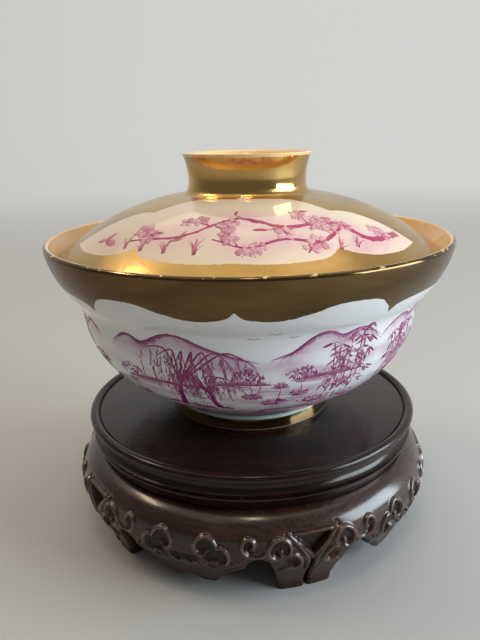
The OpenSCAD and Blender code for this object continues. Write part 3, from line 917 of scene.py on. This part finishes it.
def rocks(draw, x, y, wide):
    """Rounded rocks: fat overlapping dabs, dark underneath, with moss dots on their backs."""
    for k in range(int(wide * 0.8)):
        cx, cy = x + draw(-0.5, 0.5) * wide, y + draw(-0.6, 1.5)
        long = draw(2.5, 5.5)
        dab = [(cx - long / 2, cy), (cx, cy + 0.5), (cx + long / 2, cy - 0.1)]
        yield dab, draw(0.9, 1.9), draw(0.35, 0.9), "leaf"
    for k in range(int(wide * 2.2)):
        cx, cy = x + draw(-0.55, 0.55) * wide, y + draw(0.6, 2.4)
        yield [(cx, cy), (cx + draw(-0.2, 0.2), cy + 0.55)], draw(0.35, 0.6), 1.0, "leaf"


def bushes(draw, x, y, wide, tall, dots):
    """Low bushes stippled with the tip of the brush."""
    for k in range(dots):
        turn, reach = draw(0, math.pi), math.sqrt(draw(0, 1))
        spot = (x + reach * math.cos(turn) * wide / 2, y + reach * math.sin(turn) * tall)
        yield leaf_stroke(draw, spot, 0.9, (0.6, 1.25), (0.5, 0.85), (0.35, 0.95), 1)


def lotus(draw, x, y, wide):
    """A lotus leaf on the water, its ribs left bare between the strokes, and an open flower over it."""
    for k in range(11):
        a, reach = 2 * math.pi * (k + draw(-0.15, 0.15)) / 11, wide / 2 * draw(0.88, 1.05)
        rib = [(x, y), (x + reach * math.cos(a), y + reach * 0.45 * math.sin(a))]
        yield rib, wide * (0.15 + 0.2 * abs(math.sin(a))), draw(0.3, 0.8), "fan"
    flower_x, flower_y = x + draw(-0.3, 0.3) * wide, y + wide * draw(0.55, 0.75)
    stalk = [(x, y), ((x + flower_x) / 2 + 0.3, (y + flower_y) / 2), (flower_x, flower_y)]
    yield stalk, 0.35, 0.8, "line"
    petal = wide * 0.32
    for swing in (-1.25, 1.25, -0.8, 0.8, -0.35, 0.35, 0.0):
        tip = (flower_x + petal * math.sin(swing), flower_y + petal * math.cos(swing))
        yield [(flower_x, flower_y), tip], petal * 0.4, draw(0.3, 0.65), "leaf"


def ripples(rng, low, high, wide, rows):
    """Short level strokes of still water, in loose groups."""
    draw = rng.uniform
    for k in range(rows):
        y = low + (high - low) * (k + draw(0.2, 0.8)) / rows
        x = draw(-0.5, 0.4) * wide
        for part in range(rng.randint(1, 4)):
            long = draw(2.5, 8.0)
            wave = [(x, y), (x + long / 2, y + draw(0.05, 0.25)), (x + long, y)]
            yield wave, draw(0.3, 0.6), draw(0.2, 0.6), "line"
            x += long + draw(0.8, 2.5)
            y += draw(-0.35, 0.35)


def bird(x, y, size):
    """A far bird: two wing strokes."""
    yield [(x - size, y + size * 0.25), (x - size * 0.4, y + size * 0.4), (x, y)], 0.32, 0.8, "leaf"
    yield [(x, y), (x + size * 0.45, y + size * 0.45), (x + size, y + size * 0.2)], 0.32, 0.8, "leaf"


def bank(draw, x, y, wide, tall):
    """A low grassy bank: long tapered strokes, with short blades along the top."""
    line = smooth_line([(x - wide / 2, y), (x - wide * 0.1, y + 0.7), (x + wide / 2, y + 0.2)], 40)
    yield line[::5], 1.4, 0.7, "leaf"
    yield line[4:34:5] - (0, 0.9), 0.9, 0.45, "leaf"
    yield line[10:40:5] - (0, 1.6), 0.7, 0.25, "leaf"
    for spot in line[3:-3]:
        high, lean = tall * draw(0.5, 1.0), draw(-0.3, 0.5)
        yield [spot, spot + (lean, high)], draw(0.35, 0.6), draw(0.4, 0.95), "blade"


def far_hill(draw, crest):
    """A far hill: a crest drawn with a loaded brush, and dry strokes down its slopes."""
    line = smooth_line(crest, 48)
    yield line[::3], 1.1, 0.75, "leaf"
    yield line[4:30:3] - (0, 0.4), 1.0, 0.6, "leaf"
    yield line[20:46:3] - (0, 0.35), 0.9, 0.5, "leaf"
    for k in range(3, 46, 2):
        fall, slide = draw(1.0, 3.6), draw(1.0, 3.5)
        if line[k + 1, 1] > line[k - 1, 1]:
            slide = -slide
        start = line[k] - (0, 0.4)
        slope = [start, start + (slide * 0.5, -fall * 0.6), start + (slide, -fall)]
        yield slope, draw(0.3, 0.6), draw(0.05, 0.3), "blade"


HILLS = [[(-34, 38.0), (-28, 41.4), (-23, 39.8), (-15, 43.4), (-8, 40.4), (-1, 38.2), (5, 36.6)],
         [(7, 37.2), (13, 39.4), (19, 43.8), (24, 41.8), (29, 43.2), (36, 39.2)]]
# Sweeps of thin wash over water and mist: their lines, half widths and strengths
SWEEPS = [([(-38, 34), (-24, 31), (-8, 34.5)], 3.0, 0.2), ([(-36, 27), (-22, 25), (-5, 27)], 2.4, 0.26),
          ([(-33, 22), (-18, 20.5), (-2, 22.5)], 2.2, 0.25), ([(-6, 25.5), (8, 23), (24, 26)], 2.6, 0.42),
          ([(0, 29), (16, 27.5), (36, 31)], 2.4, 0.5), ([(6, 19), (20, 18.5), (36, 22)], 2.6, 0.5),
          ([(10, 34.5), (24, 33), (38, 36)], 3.0, 0.5), ([(-26, 16), (-8, 14.5), (10, 16)], 2.4, 0.38),
          ([(-12, 38), (0, 34.5), (12, 36.5)], 2.6, 0.3), ([(-20, 11), (0, 10), (20, 12)], 2.2, 0.36)]


# What stands at the water: across from the panel's middle, up from the foot, and then its sizes
WATERSIDE = (
    (bank, -21, 28.6, 22, 1.7), (bank, 1, 30.0, 15, 1.4), (bank, 22, 31.2, 20, 1.9),
    (bushes, 2, 30.6, 8, 4.4, 90), (bushes, 15, 31.6, 8, 3.2, 70), (bushes, -29, 29.4, 8, 3.4, 60),
    (rocks, -13, 18.5, 20), (willow, -17, 19, 24.5, 0.9), (willow, -6, 19.5, 16, -0.7),
    (rocks, 26, 20.5, 15), (bamboo, 27, 21, 23, 5), (bushes, 19, 21, 8, 2.4, 50),
    (lotus, 9, 23.0, 8.0), (lotus, 15, 26.5, 6.0), (lotus, 3, 26.0, 6.0), (lotus, -30, 22, 7.0),
    (bank, 14, 16.5, 20, 1.6), (bank, -24, 13.5, 18, 1.6), (rocks, 5, 12.0, 10),
)


def water_view(seed, side):
    """One panel's view. Side is 1 with the willows on the left, and -1 the other way round."""
    rng = random.Random(seed)
    strokes = []
    for crest in HILLS:
        strokes += far_hill(rng.uniform, crest)
    strokes += ripples(rng, 8, 28, 62, 22)
    for thing, *sizes in WATERSIDE:
        strokes += thing(rng.uniform, *sizes)
    for x, y, size in ((3.5, 42.6, 1.7), (8, 44.2, 1.5), (12, 42.8, 1.2)):
        strokes += bird(x, y, size)
    return [(np.array(points) * (side, 1), *look) for points, *look in strokes]


def points_of(piece):
    """Where the points of a piece are, in millimetres."""
    spots = np.empty(3 * len(piece.data.vertices))
    piece.data.vertices.foreach_get("co", spots)
    return spots.reshape(-1, 3).T / MM


def sweep_share(flat, sweeps):
    """How much wash soft sweeps of a full brush leave on points of a flat painting."""
    laid = np.zeros(len(flat))
    for points, half_width, strength in sweeps:
        gap, along = gap_to_line(flat, smooth_line(points, 20))
        ends = np.sin(np.pi * np.clip(along, 0, 1)) ** 0.4
        laid = np.maximum(laid, strength * swell(gap / half_width) * ends)
    return laid


def bowl_wash(piece, panels):
    """Lay thin wash on the bowl: in sweeps over the water, and under the crests, fading down the slopes."""
    x, y, z = points_of(piece)
    up = np.interp(z, body_line[:, 1], body_run)
    laid = np.zeros(len(x))
    for middle, side in panels:
        turn = np.arctan2(x, -y) - math.radians(middle)
        across = side * body_mean_r * (np.mod(turn + math.pi, 2 * math.pi) - math.pi)
        laid = np.maximum(laid, sweep_share(np.column_stack([across, up]), SWEEPS))
        for crest in HILLS:
            line = smooth_line(crest, 48)
            drop = np.interp(across, line[:, 0], line[:, 1]) - up
            ends = np.clip(np.minimum(across - line[0, 0], line[-1, 0] - across) / crest_ends, 0, 1)
            laid += ends * (drop > -crest_over) * np.clip(1 - drop / slope_h, 0, 1) ** 1.6 * 0.6
    carry(piece.data, "wash", np.clip(laid, 0, 1))


PANELS = [(panel_middle + 90 * k, 1 if k % 2 == 0 else -1) for k in range(4)]
bowl_wash(bowl, PANELS)
bowl_enamel = puce_enamel("puce_enamel", (0.25, 0.017, 0.125, 1), (0.66, 0.42, 0.60, 1))
for k, (middle, side) in enumerate(PANELS):
    name = "bowl_brushwork_" + ("front", "right", "back", "left")[k]
    brushwork = brush_piece(name, on_bowl(middle), water_view(11 + k, side), bowl_enamel)
    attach(brushwork, "bowl")


# Lid
# A shallow thrown dome with a hollow ring knob, which stands inside the bowl's lip. It is gilded all over
# its outside but for two lobed panels of white glaze, painted in the same puce enamel.

lid_r, lid_wall, dome_h, dome_round, lid_gap = 52.2, 2.2, 16.3, 62.0, 0.3
knob_waist_r, knob_h, knob_waist_h, knob_flare, knob_wall = 16.25, 10.5, 3.4, 17.0, 2.4
knob_fillet = 2.4
edge_proud = 0.1
lid_edge = lid_wall / 2 + edge_proud
lid_edge_x = lid_r - lid_edge
seat = lip_round - bowl_wall - lid_gap - lid_edge
lid_edge_c = np.array([lid_edge_x, flare_c[1] - math.sqrt(seat ** 2 - (lid_edge_x - flare_c[0]) ** 2)])
dome_top = lid_edge_c[1] + dome_h
dome_c = np.array([lid_edge_x - math.sqrt((dome_round - lid_wall / 2) ** 2 - (dome_h - dome_round) ** 2),
                   dome_top - dome_round])
knob_c = np.array([knob_waist_r + knob_flare, dome_top + knob_waist_h])
knob_bare, knob_lip_h, knob_in_lip = 0.9, 0.5, 1.6
lid_panel_middle, lid_panel_half, lid_panel_r = -4.5, 66.0, 50.0
lid_gold = ((0.48, 0.295, 0.095, 1), (0.68, 0.435, 0.155, 1))
# The panels take the bowl's white glaze painted warm cream: painted warm light from the lamp overhead.
warm_lit_panel_glaze, rose_wash = (0.90, 0.735, 0.56, 1), (0.74, 0.33, 0.47, 1)


def painted_lid(name):
    """Gilding all over, but for lobed panels of white glaze."""
    material, sockets, place = new_finish(name)
    x, y, _ = place.parts()
    folded = from_panel(x, y, lid_panel_middle)
    wide = math.radians(lid_panel_half)
    share = folded.math("MINIMUM", folded / wide, 1)
    radius = x.math("SQRT", x * x + y * y) / MM + hand_wobble(place)
    low = share.curve([
        (0, 0.915), (0.30, 0.92), (0.42, 0.905), (0.49, 0.865, "sharp"), (0.56, 0.905), (0.78, 0.94),
        (1, 0.93, "sharp")]) * lid_panel_r
    high = share.curve([
        (0, 0.338, "sharp"), (0.06, 0.358), (0.14, 0.362), (0.35, 0.37), (0.58, 0.43), (0.70, 0.60, "sharp"),
        (0.82, 0.63), (0.93, 0.74), (1, 0.93, "sharp")]) * lid_panel_r
    panel = over_edge(low - radius) * over_edge(radius - high) * (folded < wide)
    tint = streaky_wash(place, (260, 60, 500)).blend(warm_lit_panel_glaze, rose_wash)
    feed(sockets, Base_Color=panel.blend(gold_colour(place, lid_gold), tint))
    feed(sockets, Metallic=1 - panel, Normal=gold_skin(place, 0.06 + (1 - panel) * 0.5))
    feed(sockets, Roughness=0.07 + (1 - panel) * (0.06 + place.noise((120, 120, 300)) * 0.16))
    feed(sockets, Coat_Weight=panel * 0.4, Coat_Roughness=0.05)
    return material


lid_painting = painted_lid("gilt_dome_with_painted_panels")
knob_top = dome_top + knob_h
knob_gold = gilding("knob_gilding", lid_gold, knob_top - knob_bare)
ivory_glaze = plain_glaze("ivory_glaze", glaze_ivory)
edge_way, edge_blend = heading(dome_c, lid_edge_c), 1.2


def knob_side(radius, z):
    """The point at a height on the knob's hollow side, outside or in."""
    return np.array([knob_c[0] - math.sqrt(radius ** 2 - (z - knob_c[1]) ** 2), z])


fillet_c = meeting(dome_c, dome_round + knob_fillet, knob_c, knob_flare - knob_fillet, 1)
fillet_low = dome_c + (fillet_c - dome_c) * dome_round / (dome_round + knob_fillet)
fillet_high = knob_c + (fillet_c - knob_c) * knob_flare / (knob_flare - knob_fillet)
under_lid = np.vstack([
    [(0, dome_top - lid_wall), (dome_c[0], dome_top - lid_wall)],
    arc(dome_c, dome_round - lid_wall, 89.5, edge_way + edge_blend, 36),
])
lid_rim = arc(lid_edge_c, lid_edge, edge_way - 180, edge_way, 16)
dome_line = np.vstack([
    arc(dome_c, dome_round, edge_way + edge_blend, heading(dome_c, fillet_low), 40),
    arc(fillet_c, knob_fillet, heading(fillet_c, fillet_low), heading(fillet_c, fillet_high), 10)[1:],
])
knob_lip = knob_side(knob_flare, knob_top - knob_lip_h)
knob_out = arc(knob_c, knob_flare, heading(knob_c, fillet_high), heading(knob_c, knob_lip), 24)
knob_rim = rounded([knob_out[-1], knob_lip + (0.15, 0.42), knob_lip + (-0.3, 0.5), knob_lip + (-1.5, 0.2)],
                   0.25)
knob_in_r = knob_flare + knob_wall
knob_in_top, knob_in_low = knob_side(knob_in_r, knob_top - knob_in_lip), knob_side(knob_in_r, dome_top)
knob_in = np.vstack([
    rounded([knob_rim[-1], knob_lip + (-2.2, -0.2), knob_in_top], 0.8),
    arc(knob_c, knob_in_r, heading(knob_c, knob_in_top), heading(knob_c, knob_in_low), 18),
    [(0, dome_top)],
])
lid = turned("porcelain_lid", [
    (under_lid, ivory_glaze), (lid_rim, knob_gold), (dome_line, lid_painting), (knob_out[:-1], knob_gold),
    (knob_out[-1:], cream_glaze), (knob_rim, cream_glaze), (knob_in, cream_glaze)])
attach(lid, "lid")
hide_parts("lid")


# Painting on the lid
# Two panels in the same enamel, each with a flowering branch across it, a butterfly beside the branch, and
# tufts of grass along the lower edge.

panel_in, panel_out, grass_r = 20.0, 44.3, 43.8


def on_lid(middle):
    """Where a flat painting lies on the dome, seen from above: across a panel, and out from the knob."""
    a = math.radians(middle)
    out_way, across_way = np.array([math.sin(a), -math.cos(a)]), np.array([math.cos(a), math.sin(a)])

    def lay(flat):
        plan = flat[:, :1] * across_way + flat[:, 1:] * out_way
        r = np.linalg.norm(plan, axis=1)
        past = np.maximum(r - dome_c[0], 0)
        rise = np.sqrt(dome_round ** 2 - past ** 2)
        spot = np.column_stack([plan, dome_c[1] + rise])
        return spot, np.column_stack([plan / r[:, None] * (past / dome_round)[:, None], rise / dome_round])
    return lay


def blossom(draw, x, y, size):
    """An open flower with five petals, and stamens with dotted ends."""
    start = draw(0, 2 * math.pi)
    for k in range(5):
        a = start + k * 2 * math.pi / 5
        way = np.array((math.cos(a), math.sin(a)))
        yield [(x, y) + 0.15 * size * way, (x, y) + size * way], size * 0.95, draw(0.15, 0.5), "leaf"
    for k in range(7):
        a, reach = start + k * 2 * math.pi / 7, size * draw(0.4, 0.65)
        tip = np.array((x + reach * math.cos(a), y + reach * math.sin(a)))
        yield [(x, y), tip], 0.16, 0.9, "line"
        yield [tip - (0.15, 0), tip + (0.2, 0)], 0.34, 1.0, "leaf"


BOUGHS = [[(38, 20), (31, 29), (22, 27.5), (11, 33.5), (0, 31), (-12, 36.5), (-25, 33)],
          [(24, 28.2), (19.5, 36), (11, 37.8), (3, 41.6), (-5, 38.8)]]
BLOOM_SWEEPS = [(BOUGHS[0], 8.0, 0.5), (BOUGHS[1], 6.0, 0.55), ([(40, 18), (31, 30), (22, 39)], 6.0, 0.6),
                ([(-14, 41), (-26, 35), (-36, 24)], 4.0, 0.2)]


def flowering_branch(draw):
    """A knotty branch with twigs, blossoms and young leaves, a butterfly beside it, and grass below."""
    flowers = []
    for points, thick in zip(BOUGHS, (2.4, 1.4)):
        bough = smooth_line(points, 60)
        yield bough[::4], thick, 0.85, "stem"
        for k in range(5, 60, 5 if thick > 2 else 11):
            a = math.pi + (1 if k % 2 else -1) * draw(0.4, 1.2)
            long = draw(4, 9)
            tip = bough[k] + (long * math.cos(a), long * math.sin(a))
            twig = smooth_line([bough[k], (bough[k] + tip) / 2 + (0, draw(-0.8, 0.8)), tip], 8)
            yield twig, 0.75, 0.8, "stem"
            for spot in twig[2::2]:
                x, y = spot + (draw(-0.9, 0.9), draw(-0.9, 0.9))
                turn, pick = draw(0, 2 * math.pi), draw(0, 1)
                if pick < 0.3:
                    flowers += blossom(draw, x, y, draw(2.0, 3.0))
                elif pick < 0.8:
                    size, wide = draw(2.2, 4.0), draw(0.9, 1.4)
                    end = (x + size * math.cos(turn), y + size * math.sin(turn))
                    yield [(x, y), end], wide, draw(0.45, 0.85), "leaf"
    yield from flowers
    x, y = -32, 28
    for wing_x, wing_y, wide in ((-3.4, 3.2, 2.4), (2.6, 4.0, 2.4), (-3.0, -2.0, 1.9), (2.0, -2.2, 1.9)):
        yield [(x, y), (x + wing_x, y + wing_y)], wide, 0.5, "leaf"
        yield [(x, y), (x + wing_x * 0.8, y + wing_y * 0.8)], 0.4, 0.9, "line"
    yield [(x - 0.3, y + 2.0), (x + 0.1, y - 2.2)], 0.8, 1.0, "leaf"
    for turn in (-0.64, -0.52, -0.37, -0.2, 0.57, 0.68):
        x, y = grass_r * math.sin(turn), grass_r * math.cos(turn)
        for k in range(9):
            lean, tall = draw(-2.4, 2.4), draw(2.2, 5.2)
            blade = [(x + lean * 0.1, y), (x + lean * 0.35, y - tall * 0.6), (x + lean, y - tall)]
            yield blade, 0.5, draw(0.3, 0.85), "blade"


def on_panel(stroke):
    """Whether a stroke keeps to its panel."""
    return all(panel_in < np.hypot(*spot) < panel_out for spot in stroke[0])


def lid_wash(piece, panels):
    """Lay thin wash on the lid's panels, in sweeps along the boughs."""
    x, y, _ = points_of(piece)
    laid = np.zeros(len(x))
    for middle in panels:
        a = math.radians(middle)
        flat = np.column_stack([x * math.cos(a) + y * math.sin(a), x * math.sin(a) - y * math.cos(a)])
        laid = np.maximum(laid, sweep_share(flat, BLOOM_SWEEPS))
    carry(piece.data, "wash", laid)


LID_PANELS = {"front": lid_panel_middle, "back": lid_panel_middle + 180}
lid_wash(lid, LID_PANELS.values())
lid_enamel = puce_enamel("rose_puce_enamel", (0.44, 0.035, 0.12, 1), (0.84, 0.52, 0.54, 1))
for k, (side, middle) in enumerate(LID_PANELS.items()):
    strokes = filter(on_panel, flowering_branch(random.Random(31 + k).uniform))
    brushwork = brush_piece("lid_brushwork_" + side, on_lid(middle), strokes, lid_enamel)
    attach(brushwork, "lid")


# Floor, light and camera
# A plain pale floor under soft light from a wide window on the right, and the photograph's own viewpoint.

scene = bpy.context.scene
scene.view_settings.view_transform = "Standard"
shade_grey, light_white = (0.155, 0.151, 0.146, 1), (0.64, 0.645, 0.625, 1)
light_right, light_back = 0.42, 0.91
floor_reach, glow_start, glow_full = 12.0, 0.15, 1.1


def room_light(x, y):
    """Light of the pale room in a direction, from its shaded side at the front to its bright side behind."""
    return (x * light_right + y * light_back).rise(-0.6, 1.0).blend(shade_grey, light_white)


floor_finish, floor_sockets, floor_place = new_finish("pale_floor")
grain = floor_place.noise((900, 900, 900), 2)
feed(floor_sockets, Base_Color=grain.blend((0.48, 0.476, 0.468, 1), (0.52, 0.516, 0.508, 1)), Roughness=0.6)
floor_x, floor_y, _ = floor_place.parts()
floor_far = floor_x.math("SQRT", floor_x * floor_x + floor_y * floor_y)
floor_nodes = floor_finish.node_tree.nodes
near = Field(floor_finish.node_tree, floor_nodes["Principled BSDF"].outputs[0])
glow = near.add("Emission", sockets={"Color": room_light(floor_x / floor_far, floor_y / floor_far)})
faded = near.add("MixShader", sockets={0: floor_far.rise(glow_start, glow_full), 1: near, 2: glow})
feed(floor_nodes["Material Output"].inputs, Surface=faded)
corners = [(x * floor_reach, y * floor_reach, 0) for x, y in ((-1, -1), (1, -1), (1, 1), (-1, 1))]
floor = new_piece("floor", new_mesh("floor", corners, [(0, 1, 2, 3)], [floor_finish]))

world = bpy.data.worlds.new("studio")
scene.world = world
world.use_nodes = True
sky_x, sky_y, _ = Field(world.node_tree).add("TexCoord", out="Generated").parts()
feed(world.node_tree.nodes["Background"].inputs, Color=room_light(sky_x, sky_y))

# Lamps: place, size, watts and colour, all turned towards the middle of the bowl
for name, place, size, watts, colour in (
    ("window", (0.70, -0.16, 0.27), (0.56, 0.38), 6.8, (0.80, 0.93, 1.0)),
    ("ceiling", (-0.10, 0.16, 0.80), (1.20, 1.20), 2.7, (1.0, 0.88, 0.72)),
    ("left_bulb", (-0.62, 0.12, 0.80), (0.30, 0.10), 1.35, (1.0, 0.80, 0.55)),
    ("front_bulb", (0.0, -0.22, 0.80), (0.07, 0.06), 0.4, (1.0, 0.80, 0.55)),
):
    lamp = bpy.data.lights.new(name, "AREA")
    lamp.shape, lamp.size, lamp.size_y = "RECTANGLE", *size
    lamp.energy, lamp.color = watts, colour
    light = new_piece(name, lamp)
    light.location = place
    light.rotation_mode = "QUATERNION"
    light.rotation_quaternion = (Vector((0, 0, 0.06)) - Vector(place)).to_track_quat("-Z", "Y")

lens = bpy.data.cameras.new("photo_view")
lens.sensor_width, lens.lens = 36.0, 34.6
camera = new_piece("photo_view", lens)
right = Vector((0.99973, 0.009668, -0.021188))
up = Vector((0.017331, 0.298827, 0.954171))
back = -Vector((-0.01556, 0.95428, -0.29858))
camera.matrix_world = Matrix((
    (right.x, up.x, back.x, 0.0),
    (right.y, up.y, back.y, -0.17385),
    (right.z, up.z, back.z, 0.11170),
    (0, 0, 0, 1),
))
scene.camera = camera
